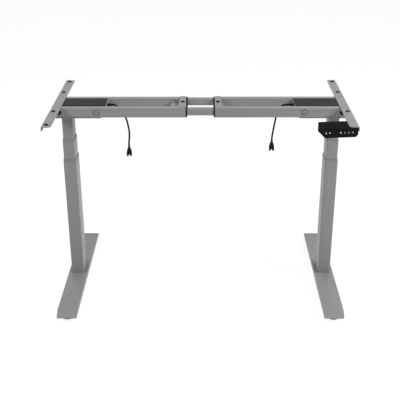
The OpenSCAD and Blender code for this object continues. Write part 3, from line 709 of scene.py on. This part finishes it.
@dataclass(frozen=True)
class Studio:
    """A pale floor in a white room, with a lamp high at each side, the right one a little stronger.

    Attributes:
        room: Strength of the light that the room gives to matt surfaces.
        floor_share: Share of the lamps' light that the camera sees on the floor, which holds the
            object's shadow; the rest of the floor's white is its own glow.
    """

    room: float = 0.38
    floor_half: float = 40.0
    floor_colour: str = "#e8e8e8"
    floor_share: float = 0.16
    floor_glow: float = 0.9
    lamps: tuple[SoftBox, ...] = (
        SoftBox("right_lamp", (2.9, -1.2, 2.7), (0.2, 0.0, 0.5), 1.0, 130.0),
        SoftBox("left_lamp", (-2.9, -1.2, 2.7), (-0.2, 0.0, 0.5), 1.0, 74.0),
    )

    def build(self) -> None:
        """Makes the world, the floor and the lamps."""
        self.build_world()
        self.build_floor()
        for lamp in self.lamps:
            lamp.build()
        bpy.context.scene.view_settings.view_transform = "Standard"

    @staticmethod
    def add_choice(tree: NodeTree, output: str, lit: Node, seen: Node) -> None:
        """Ends a tree with a shader that lights matt surfaces and one for what is seen directly.

        Seen directly is what a ray of the camera, of a mirror or through glass meets.
        """
        path = add_node(tree, "ShaderNodeLightPath").outputs
        direct = path["Is Camera Ray"]
        for ray in ("Is Glossy Ray", "Is Transmission Ray"):
            larger = {0: direct, 1: path[ray]}
            direct = add_node(tree, "ShaderNodeMath", larger, operation="MAXIMUM").outputs[0]
        choice = {0: direct, 1: lit.outputs[0], 2: seen.outputs[0]}
        mixed = add_node(tree, "ShaderNodeMixShader", choice)
        add_node(tree, output, {"Surface": mixed.outputs[0]})

    def build_world(self) -> None:
        """Makes the white room."""
        world = bpy.data.worlds.new("white_room")
        world.use_nodes = True
        tree = world.node_tree
        tree.nodes.clear()
        room, white = (
            add_node(tree, "ShaderNodeBackground", {"Color": WHITE, "Strength": strength})
            for strength in (self.room, 1.0)
        )
        self.add_choice(tree, "ShaderNodeOutputWorld", room, white)
        bpy.context.scene.world = world

    def build_floor(self) -> None:
        """Makes the floor, which shows white and keeps the object's soft shadow."""
        material = bpy.data.materials.new("seamless_paper")
        material.use_nodes = True
        tree = material.node_tree
        tree.nodes.clear()
        held = (self.floor_share,) * 3 + (1.0,)
        paper, shaded = (
            add_node(tree, "ShaderNodeBsdfDiffuse", {"Color": colour})
            for colour in (linear_colour(self.floor_colour), held)
        )
        own = {"Color": WHITE, "Strength": self.floor_glow}
        glow = add_node(tree, "ShaderNodeEmission", own)
        both = {0: shaded.outputs[0], 1: glow.outputs[0]}
        shown = add_node(tree, "ShaderNodeAddShader", both)
        self.add_choice(tree, "ShaderNodeOutputMaterial", paper, shown)
        half = self.floor_half
        corners = [(-half, -half, 0), (half, -half, 0), (half, half, 0), (-half, half, 0)]
        mesh = bpy.data.meshes.new("floor")
        mesh.from_pydata(corners, [], [(0, 1, 2, 3)])
        mesh.materials.append(material)
        add_object("floor", mesh)


# What each end of the frame has


@dataclass
class SidePart:
    """A sub-assembly that the frame has at each end. Its names go without the end's."""

    side: Side

    def box(self, node: str) -> tuple[Vector, Vector]:
        """Returns the low and the high corner of a CAD node at this end."""
        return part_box(self.side.named(node))

    def piece(
        self, name: str, mesh: Mesh, body: str, finish: Finish, *nodes: str, slot: str = ""
    ) -> Object:
        """Makes a mesh a finished piece of this end; see finish_piece."""
        named = self.side.named
        replaces = [named(node) for node in nodes]
        return finish_piece(named(name), mesh, named(body), finish, replaces, slot)

    def softened_piece(
        self, node: str, name: str, body: str, finish: Finish, *roundings: Rounding
    ) -> Object:
        """Makes a softened copy of a CAD node at this end a finished piece."""
        mesh = softened(self.side.named(node), *roundings)
        return self.piece(name, mesh, body, finish, node)


# Cables


# X and Z of each cable's points, from its strain relief to its plug; Y is 0 all the way.
ROUTES = {
    Side.LEFT: (
        (-0.335, 0.745), (-0.332, 0.745), (-0.328, 0.745), (-0.320, 0.741), (-0.313, 0.733),
        (-0.305, 0.722), (-0.296, 0.710), (-0.288, 0.697), (-0.282, 0.681), (-0.278, 0.660),
        (-0.275, 0.638), (-0.275, 0.617), (-0.277, 0.600), (-0.278, 0.589), (-0.278, 0.583),
    ),
    Side.RIGHT: (
        (0.335, 0.745), (0.332, 0.745), (0.327, 0.745), (0.316, 0.743), (0.306, 0.736),
        (0.298, 0.725), (0.292, 0.710), (0.285, 0.674), (0.282, 0.654), (0.279, 0.635),
        (0.277, 0.621), (0.276, 0.611), (0.276, 0.605),
    ),
}


def smooth_path(route: Corners, steps: int) -> list[Vector]:
    """Returns a smooth curve through a route, with so many steps from one point to the next."""
    points = [Vector((x, 0.0, z)) for x, z in route]
    last = len(points) - 1
    path = []
    for i in range(last):
        a, b, c, d = points[max(i - 1, 0)], points[i], points[i + 1], points[min(i + 2, last)]
        square, cube = 2 * a - 5 * b + 4 * c - d, 3 * b - a - 3 * c + d
        for k in range(steps):
            t = k / steps
            path.append(0.5 * (2 * b + (c - a) * t + square * t**2 + cube * t**3))
    return path + [points[last]]


@dataclass
class MotorCable(SidePart):
    """A motor's cable: its strain relief, its free stretch and its plug.

    Attributes:
        steps: Steps between two points of its route.
        rib: Corners of a rib: millimetres in from its crest and share of its length.
        flange_in: How far the flange at the cover is inside the relief's greatest radius.
        neck_l: Length of the plug's round neck.
    """

    radius: float = mm(3.5)
    steps: int = 6
    rib_count: int = 5
    rib: Corners = ((0.0, 0.0), (0.1, 0.5), (1.0, 0.6), (1.1, 0.95))
    flange_l: float = mm(2.5)
    flange_in: float = mm(1.2)
    relief_wall: float = mm(0.9)
    tip_wall: float = mm(0.5)
    lathe_steps: int = 32
    neck_l: float = mm(15.0)

    def build(self) -> None:
        """Makes the cable and what is on it."""
        gland = self.build_gland()
        moulded = Rounding(1.2, 3, self.is_moulded_edge)
        plug = self.softened_piece("motor_plug", "plug_moulding", "end", CAP_PLASTIC, moulded)
        path = smooth_path(ROUTES[self.side], self.steps)
        curve = bpy.data.curves.new(self.side.named("cable_sheath"), "CURVE")
        curve.dimensions = "3D"
        curve.bevel_depth, curve.bevel_resolution, curve.use_fill_caps = self.radius, 4, True
        spline = curve.splines.new("POLY")
        spline.points.add(len(path) - 1)
        for point, place in zip(spline.points, path):
            point.co = (*place, 1.0)
        spline.use_smooth = True
        curve.materials.append(SHEATH.material())
        cable = add_object(self.side.named("cable_sheath"), curve)
        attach(cable, self.side.named("end"))
        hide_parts(self.side.named("motor_cable"))
        length = sum((b - a).length for a, b in zip(path, path[1:]))
        LOG.info("cable %s: %.1f mm", cable.name, length * 1000)

    def build_gland(self) -> Object:
        """Makes the tapered strain relief at the motor cover, with its ribs, and returns it."""
        low, high = self.box("cable_gland")
        middle = (low + high) / 2
        length, big = high.x - low.x, (high.y - low.y) / 2
        small = self.radius + self.relief_wall
        flange_r, tip_r = big - self.flange_in, self.radius + self.tip_wall
        profile = [(0.0, 0.0), (flange_r, 0.0), (flange_r, self.flange_l)]
        rib_l = (length - self.flange_l) / self.rib_count
        for i in range(self.rib_count):
            start = self.flange_l + i * rib_l
            crest = big - (big - small) * (start / length)
            profile += [(crest - mm(inset), start + rib_l * share) for inset, share in self.rib]
        profile += [(tip_r, length), (0.0, length)]
        base = low.x if self.side is Side.LEFT else high.x
        outward = Matrix.Rotation(-self.side.value * math.pi / 2, 4, "Y")
        place = Matrix.Translation((base, middle.y, middle.z)) @ outward
        mesh = lathe(profile, self.lathe_steps, place)
        return self.piece("cable_relief", mesh, "end", CAP_PLASTIC, "cable_gland")

    def is_moulded_edge(self, edge: BMEdge) -> bool:
        """Tells if an edge is on the plug's body rather than on its round neck."""
        return max(v.co.z for v in edge.verts) < ROUTES[self.side][-1][1] - self.neck_l


# Columns and feet


@dataclass
class Column(SidePart):
    """One telescoping column: three tubes, two guide collars and the spindles inside."""

    wall: float = mm(1.8)
    corner: float = mm(5.0)

    def build(self) -> None:
        """Makes the column's pieces."""
        for tube, body in (("upper", "end"), ("middle", "middle"), ("lower", "lower")):
            low, high = self.box(f"{tube}_tube")
            middle, across = (low + high) / 2, high - low
            shape = BoxTube(across.x, across.y, self.corner, self.wall, low.z, high.z)
            mesh = shape.mesh()
            mesh.transform(Matrix.Translation((middle.x, middle.y, 0)))
            self.piece(f"{tube}_column", mesh, body, PAINT, f"{tube}_tube")
        for stage in ("middle", "lower"):
            guide = self.softened_piece(
                f"{stage}_collar", f"{stage}_guide", stage, COLLAR_PLASTIC, Rounding(0.5)
            )
            repaint(guide, WIPER_PLASTIC, UPWARD)
        for part in ("drive_spindle", "hollow_spindle", "base_spindle"):
            dress_node(self.side.named(part), SPINDLE_STEEL)
        dress_node(self.side.named("spindle_nut"), NUT_BRASS)


@dataclass
class Foot(SidePart):
    """One foot: its pressing, the bolts that hold the column and its two screw-in glides.

    Attributes:
        bend: Outer radius of the sheet's long bends, in millimetres.
        bend_reach: How far in from the foot's sides the bends are.
        facing_up: Least upward part of the normal of a face on top.
        disc: Corners of a glide's disc: millimetres in from its core's rim, and up.
        boss: Corners of the boss on it: radius and height in millimetres.
        lead_in: Length of the threaded stud's plain tip.
    """

    bend: float = 2.6
    bend_reach: float = mm(6.1)
    facing_up: float = 0.3
    bolt: Fastener = Fastener(6.5, 5.0, 0.6, 3.0, 3.0, 4.0, 9.0)
    bolt_x: float = mm(14.0)
    bolt_y: float = mm(28.0)
    sheet: float = mm(3.0)
    disc: Corners = (
        (4.0, 0.0), (2.6, 0.5), (0.6, 1.6), (0.0, 2.6), (0.0, 7.4), (0.5, 8.5), (1.6, 9.0),
    )
    boss: Corners = ((8.0, 9.0), (7.5, 10.0), (4.0, 10.0))
    lathe_steps: int = 64
    stud_r: float = mm(4.0)
    thread_depth: float = mm(0.5)
    thread_pitch: float = mm(1.25)
    lead_in: float = mm(0.8)
    grip_count: int = 24
    grip_sides: int = 10
    grip_r: float = mm(1.6)
    grip_out: float = mm(1.2)
    grip_h: float = mm(5.6)
    grip_bottom: float = mm(2.2)

    def build(self) -> None:
        """Makes the foot's pieces."""
        low, high = self.box("foot")
        middle_x = (low.x + high.x) / 2
        inside = (high.x - low.x) / 2 - self.bend_reach

        def is_bend(edge: BMEdge) -> bool:
            """Tells if an edge is one of the long bends, or the rounded edge at a tip."""
            tops = [face for face in edge.link_faces if face.normal.z > self.facing_up]
            return len(tops) == 1 and all(abs(v.co.x - middle_x) > inside for v in edge.verts)

        bends = Rounding(self.bend, 4, is_bend)
        self.softened_piece("foot", "foot_pressing", "lower", PAINT, bends, Rounding(0.5, 2))
        under = high.z - self.sheet
        ways = [(x, y) for x in (-1, 1) for y in (-1, 1)]
        places = [Vector((middle_x + x * self.bolt_x, y * self.bolt_y, under)) for x, y in ways]
        bolts = self.bolt.at_places(places, -UPWARD, ZINC)
        self.piece("column_bolts", bolts, "lower", ZINC, "foot_bolts")
        for front in Front:
            self.build_glide(front)

    def build_glide(self, front: Front) -> None:
        """Makes one glide: a turned disc with a gripped rim on a threaded stud."""
        node, body = front.named("glide"), front.named("foot_glide")
        low, high = self.box(node)
        radius = (high.x - low.x) / 2
        core = radius - self.grip_out
        profile = [(0.0, 0.0)]
        profile += [(core - mm(inset), mm(height)) for inset, height in self.disc]
        profile += [(mm(r), mm(height)) for r, height in self.boss]
        height = profile[-1][1]
        pitch = self.thread_pitch
        while height + pitch < high.z - self.lead_in:
            groove = (self.stud_r - self.thread_depth, height + pitch * 0.75)
            profile += [(self.stud_r, height + pitch * 0.25), groove]
            height += pitch
        tip_r = self.stud_r - self.lead_in
        profile += [(self.stud_r, height), (tip_r, high.z), (0.0, high.z)]
        middle = (low + high) / 2
        place = Matrix.Translation((middle.x, middle.y, 0))
        disc = lathe(profile, self.lathe_steps, place)
        self.piece(front.named("glide_disc"), disc, body, PAD_RUBBER, node)
        grips = self.build_grips(radius - self.grip_r)
        grips.transform(place)
        self.piece(front.named("glide_grips"), grips, body, PAD_RUBBER)

    def build_grips(self, radius: float) -> Mesh:
        """Makes the ribs round a glide's rim, at a radius."""
        sizes = {"Radius": self.grip_r, "Depth": self.grip_h, "Vertices": self.grip_sides}
        shape = NodeShape("glide_grips", sizes)
        barrel = shape.add("GeometryNodeMeshCylinder", {key: shape.size(key) for key in sizes})
        height = self.grip_bottom + self.grip_h / 2
        turns = [math.tau * i / self.grip_count for i in range(self.grip_count)]
        places = [Vector((radius * math.cos(t), radius * math.sin(t), height)) for t in turns]
        return shape.copied(barrel, PAD_RUBBER, places)


# Rails


@dataclass
class CentreRails:
    """The two rails in the middle, which the outer rails slide on."""

    edge_mm: float = 0.4

    def build(self) -> None:
        """Makes the centre's piece."""
        mesh = softened("centre_rails", Rounding(self.edge_mm, 2))
        finish_piece("inner_rail_tubes", mesh, "centre", PAINT, ["centre_rails"])


@dataclass
class OuterRails(SidePart):
    """One end's front and rear rails with their plastic collars, stop bolts and plates across."""

    stop_bolt: Fastener = Fastener(9.7, 2.0, 0.7, 3.4, 1.2, 4.0, 14.0)
    # This black ring, wider than the stop bolt's head, is painted shadow: it darkens a rim round
    # each head where shade falls.
    washer: Fastener = Fastener(11.6, 0.9, 0.3, 3.0, 0.4, 4.2, 1.0)
    bolt_x: float = mm(387.5)
    bolt_z: float = mm(738.35)

    def build(self) -> None:
        """Makes the rails' pieces."""
        for node, name, edge, finish in (
            ("outer_rails", "rail_tubes", 0.45, PAINT),
            ("rail_bridge", "bridge_plate", 0.8, PAINT),
            ("rail_caps", "rail_collars", 0.5, CAP_PLASTIC),
        ):
            self.softened_piece(node, name, "end", finish, Rounding(edge))
        face = self.box("outer_rails")[1].y
        for front in Front:
            place = Vector((self.side.value * self.bolt_x, front.value * face, self.bolt_z))
            outward = Vector((0, front.value, 0))
            for name, fastener, finish in (
                ("stop_bolt", self.stop_bolt, PAINT),
                # The black ring under each stop bolt's head is painted shadow round the head.
                ("stop_washer", self.washer, CAP_PLASTIC),
            ):
                mesh = fastener.at_places([place], outward, finish)
                self.piece(front.named(name), mesh, "end", finish)
        if self.side is Side.LEFT:
            self.softened_piece("cross_plate", "cross_tie", "end", PAINT, Rounding(0.5, 2))


@dataclass
class SideBracket(SidePart):
    """One side bracket, its rubber grommets and the screws that hold it on the rails.

    Attributes:
        bend: Outer radius of the bend over the flange, in millimetres.
        near: How close to a face's plane an edge on it is.
        hole_ys: Where its grommets are; the right one's first holds the handset's screw.
        foot: Corners of a grommet's foot: millimetres in from its rim, and up.
        rim: The same of its top, up from the plate.
        mouth: The same of its mouth, out from the hole.
    """

    bend: float = 2.6
    near: float = mm(0.1)
    screw: Fastener = Fastener(6.0, 1.6, 0.3, 2.2, 1.1, 3.0, 10.0)
    screw_x: float = mm(536.0)
    screw_y: float = mm(60.5)
    sheet: float = mm(3.0)
    hole_x: float = mm(538.0)
    hole_ys: tuple[float, ...] = (mm(-267.5), mm(-119.0), mm(119.0), mm(267.5))
    bridge_hole_x: float = mm(66.5)
    rim_r: float = mm(8.0)
    hole_r: float = mm(2.8)
    lathe_steps: int = 40
    neck_r: float = mm(4.95)
    foot_h: float = mm(1.5)
    foot: Corners = ((0.5, 0.0), (0.0, 0.5), (0.0, 1.4))
    rim: Corners = ((0.2, 0.0), (0.0, 0.3), (0.2, 1.0), (0.8, 1.6), (1.8, 2.0))
    mouth: Corners = ((0.9, 2.0), (0.2, 1.7), (0.0, 1.1))

    def build(self) -> None:
        """Makes the bracket's pieces."""
        low, high = self.box("side_bracket")
        outer = high.x if self.side is Side.RIGHT else low.x

        def is_bend(edge: BMEdge) -> bool:
            """Tells if an edge is the long bend over the flange."""
            return all(
                abs(v.co.x - outer) < self.near and v.co.z > high.z - self.near for v in edge.verts
            )

        bend = Rounding(self.bend, 4, is_bend)
        self.softened_piece("side_bracket", "bracket_pressing", "end", PAINT, bend, Rounding(0.5))
        head_under = high.z - mm(self.screw.head_h)
        places = [
            Vector((self.side.value * self.screw_x, front.value * self.screw_y, head_under))
            for front in Front
        ]
        screws = self.screw.at_places(places, UPWARD, PAINT)
        self.piece("bracket_screws", screws, "end", PAINT, "frame_screws")
        holes = self.hole_ys if self.side is Side.LEFT else self.hole_ys[1:]
        places = [Vector((self.side.value * self.hole_x, y, high.z)) for y in holes]
        mesh = self.build_grommets(places, self.sheet)
        self.piece("grommets", mesh, "end", PAD_RUBBER, "bracket_grommets")
        low, high = self.box("rail_bridge")
        place = Vector((self.side.value * self.bridge_hole_x, 0, high.z))
        mesh = self.build_grommets([place], high.z - low.z)
        self.piece("bridge_grommet", mesh, "end", PAD_RUBBER)

    def build_grommets(self, places: Sequence[Vector], plate_t: float) -> Mesh:
        """Makes grommets at places on a plate's top: a rim above, a neck through, a foot below."""
        under = -plate_t - self.foot_h
        hole = (self.hole_r, under)
        profile = [hole]
        profile += [(self.rim_r - mm(inset), under + mm(up)) for inset, up in self.foot]
        profile += [(self.neck_r, under + self.foot_h), (self.neck_r, 0.0)]
        profile += [(self.rim_r - mm(inset), mm(up)) for inset, up in self.rim]
        profile += [(self.hole_r + mm(out), mm(up)) for out, up in self.mouth] + [hole]
        shape = NodeShape("grommets", {"Size": 1.0})
        prototype = add_object("grommet", lathe(profile, self.lathe_steps))
        grommet = shape.add("GeometryNodeObjectInfo", {"Object": prototype}, "Geometry")
        mesh = shape.copied(grommet, PAD_RUBBER, places, Scale=shape.size("Size"))
        bpy.data.objects.remove(prototype)
        return mesh


SMALL_SCREW = Fastener(3.5, 1.4, 0.4, 1.7, 0.9, 2.0, 8.0)


@dataclass
class MotorHousing(SidePart):
    """One motor housing: the tray under the rails, the plastic cover, its screw and the motor."""

    screw_x: float = mm(451.5)

    def build(self) -> None:
        """Makes the housing's pieces."""
        self.softened_piece("motor_tray", "tray_plate", "end", PAINT, Rounding(0.6))
        moulding = self.softened_piece(
            "motor_cover", "cover_moulding", "end", COVER_PLASTIC, Rounding(0.9)
        )
        repaint(moulding, PAINT, -self.side.value * ALONG_X)
        place = Vector((self.side.value * self.screw_x, 0, self.box("motor_cover")[1].z))
        mesh = SMALL_SCREW.at_places([place], UPWARD, CAP_PLASTIC)
        self.piece("cover_screw", mesh, "end", CAP_PLASTIC, slot="plated_steel")
        dress_node(self.side.named("gearmotor"), MOTOR_STEEL)


# Handset


@dataclass
class Handset:
    """The handset: two shells, six keys, their signs and the screw that holds it.

    Attributes:
        turn: Degrees that it is turned about its screw, which is at pivot.
        facing_end: Least part of an end face's normal that is along the handset.
        facing_up: Least upward part of the normal of a key's face.
        keys: The keys' CAD nodes, from left to right, and what is printed on each.
        cap_share: Share of a font's size that its capitals stand high.
        notch: Share of an arrow's height from its middle to the notch in its base.
        bold: How far the strokes of a letter are widened.
    """

    turn: float = 6.0
    facing_end: float = 0.99
    facing_up: float = 0.1
    pivot: tuple[float, float] = (mm(538.0), mm(-263.0))
    keys: tuple[tuple[str, str], ...] = (
        ("up_button", "up"), ("down_button", "down"), ("memory_button", "M"),
        ("preset_button_1", "1"), ("preset_button_2", "2"), ("preset_button_3", "3"),
    )
    sign_h: float = mm(4.6)
    cap_share: float = 0.7
    arrow_w: float = mm(6.4)
    arrow_h: float = mm(4.4)
    notch: float = 0.22
    ink: float = mm(0.06)
    bold: float = mm(0.02)

    @property
    def along(self) -> Vector:
        """The way from the handset's left end to its right one."""
        return Matrix.Rotation(math.radians(self.turn), 3, "Z") @ ALONG_X

    def build(self) -> None:
        """Makes the handset's pieces."""
        roundings = Rounding(1.6, 4, self.is_end_edge), Rounding(0.3, 2)
        for node, name in (
            ("handset_upper_shell", "handset_face_shell"),
            ("handset_lower_shell", "handset_back_shell"),
        ):
            mesh = softened(node, *roundings)
            finish_piece(name, mesh, "right_end", CASE_PLASTIC, [node])
        for node, sign in self.keys:
            body = f"{node}_key"
            mesh = softened(node, Rounding(0.5))
            finish_piece(f"{node}_cap", mesh, body, KEY_PLASTIC, [node])
            finish_piece(f"{node}_sign", self.build_sign(node, sign), body, KEY_INK)
        place = Vector((*self.pivot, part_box("right_side_bracket")[1].z))
        mesh = SMALL_SCREW.at_places([place], UPWARD, ZINC)
        finish_piece("handset_screw", mesh, "right_end", ZINC)

    def is_end_edge(self, edge: BMEdge) -> bool:
        """Tells if an edge goes round one of the handset's two ends."""
        ends = [f for f in edge.link_faces if abs(f.normal.dot(self.along)) > self.facing_end]
        return len(ends) == 1

    def build_sign(self, node: str, sign: str) -> Mesh:
        """Makes one key's printed sign, a thin mesh that lies on the key's face."""
        shape = cad_copy(node)
        tops = [face for face in shape.faces if face.normal.z > self.facing_up]
        face = max(tops, key=lambda top: top.calc_area())
        outward, centre = face.normal.copy(), face.calc_center_median()
        shape.free()
        up = outward.cross(self.along).normalized()
        basis = Matrix((self.along, up, outward)).transposed().to_4x4()
        mesh = self.arrow(sign == "up") if sign in ("up", "down") else self.letter(sign)
        mesh.transform(Matrix.Translation(centre) @ basis)
        return mesh

    def arrow(self, points_up: bool) -> Mesh:
        """Returns a flat arrow head with a notched base, pointing up or down."""
        half, tip = self.arrow_w / 2, self.arrow_h / 2 * (1 if points_up else -1)
        outline = [(0.0, tip), (half, -tip), (0.0, -2 * tip * self.notch), (-half, -tip)]
        if not points_up:
            outline.reverse()
        shape = bmesh.new()
        low, high = ([shape.verts.new((x, y, z)) for x, y in outline] for z in (0.0, self.ink))
        shape.faces.new(high)
        shape.faces.new(low[::-1])
        for i, _ in enumerate(low):
            j = (i + 1) % len(low)
            shape.faces.new((low[i], low[j], high[j], high[i]))
        bmesh.ops.recalc_face_normals(shape, faces=shape.faces)
        return mesh_from(shape)

    def letter(self, sign: str) -> Mesh:
        """Returns a letter or number as a thin mesh, centred on its own middle."""
        curve = bpy.data.curves.new("sign", "FONT")
        curve.body, curve.size, curve.extrude = sign, self.sign_h / self.cap_share, self.ink / 2
        curve.offset = self.bold
        mesh = plain_mesh(add_object("sign", curve))
        xs, ys = ([v.co[axis] for v in mesh.vertices] for axis in (0, 1))
        middle_x, middle_y = (min(xs) + max(xs)) / 2, (min(ys) + max(ys)) / 2
        mesh.transform(Matrix.Translation((-middle_x, -middle_y, self.ink / 2)))
        return mesh


def main() -> None:
    """Builds the camera, the cables, the studio and each sub-assembly in turn."""
    logging.basicConfig(level=logging.INFO, format="%(message)s")
    ViewPoint().build()
    for side in Side:
        MotorCable(side).build()
    Studio().build()
    CentreRails().build()
    for side in Side:
        for assembly in (Column, Foot, OuterRails, SideBracket, MotorHousing):
            assembly(side).build()
    Handset().build()


if __name__ == "__main__":
    main()
